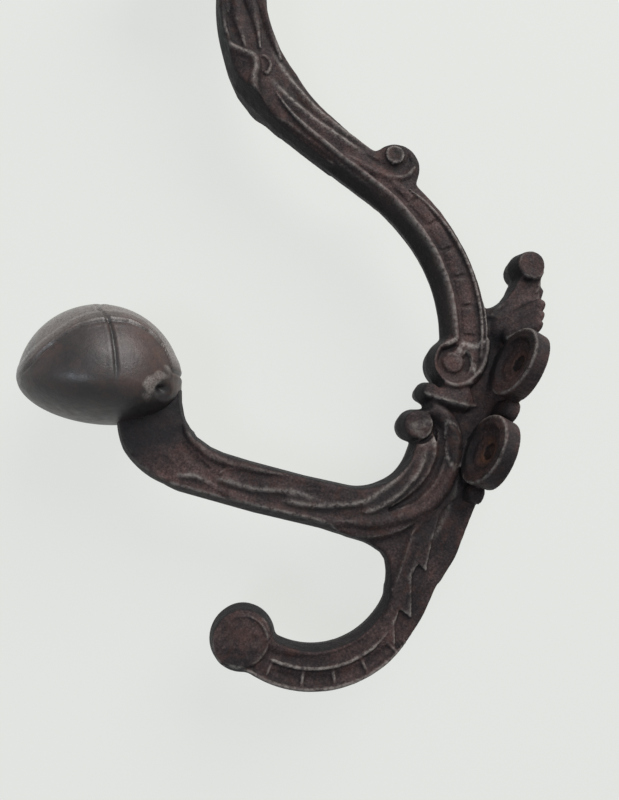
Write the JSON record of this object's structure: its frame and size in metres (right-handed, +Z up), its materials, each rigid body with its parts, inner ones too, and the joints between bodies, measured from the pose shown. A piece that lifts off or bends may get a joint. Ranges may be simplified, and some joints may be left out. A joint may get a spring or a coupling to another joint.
{
  "type": "double coat hook",
  "caption": "Ornate cast iron wall hook with scrolled arms that end in round knobs and a curl below, fixed by screw lugs.",
  "frame": {"origin": "on the wall plane, at the middle of the four screw holes", "axes": "+Z up, +Y into the wall, so the hook stands out towards -Y; X across, and the plane X = 0 is where the two halves of the mould met"},
  "size_m": [0.0506, 0.1711, 0.2384],
  "materials": {
    "cast_iron": "old sand-cast iron, dark brown patina, worn bright on the knobs and ridges, rust in the recesses"
  },
  "bodies": {
    "root": {"coat_hook": "cast_iron"}
  },
  "joints": []
}
